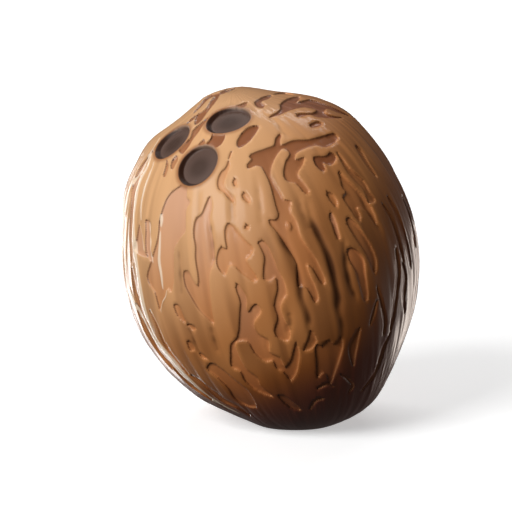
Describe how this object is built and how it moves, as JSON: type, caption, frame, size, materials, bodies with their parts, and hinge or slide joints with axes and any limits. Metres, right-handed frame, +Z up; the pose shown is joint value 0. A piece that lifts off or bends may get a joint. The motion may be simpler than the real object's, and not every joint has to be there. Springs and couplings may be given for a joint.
{
  "type": "coconut",
  "caption": "Whole husked coconut resting on a small flat spot, with round eyes near the top and wavy recessed patches along its shell.",
  "frame": {"origin": "middle of the flat spot on which the nut rests", "axes": "+Z up through the nut, front towards -Y, the nut's own axis leaning to -X at the top with the eyes at the upper front left"},
  "size_m": [0.1063, 0.1084, 0.1198],
  "materials": {
    "shell": "glossy brown fibrous shell, tan at the top left to dark brown below"
  },
  "bodies": {
    "root": {"coconut": "shell"}
  },
  "joints": []
}
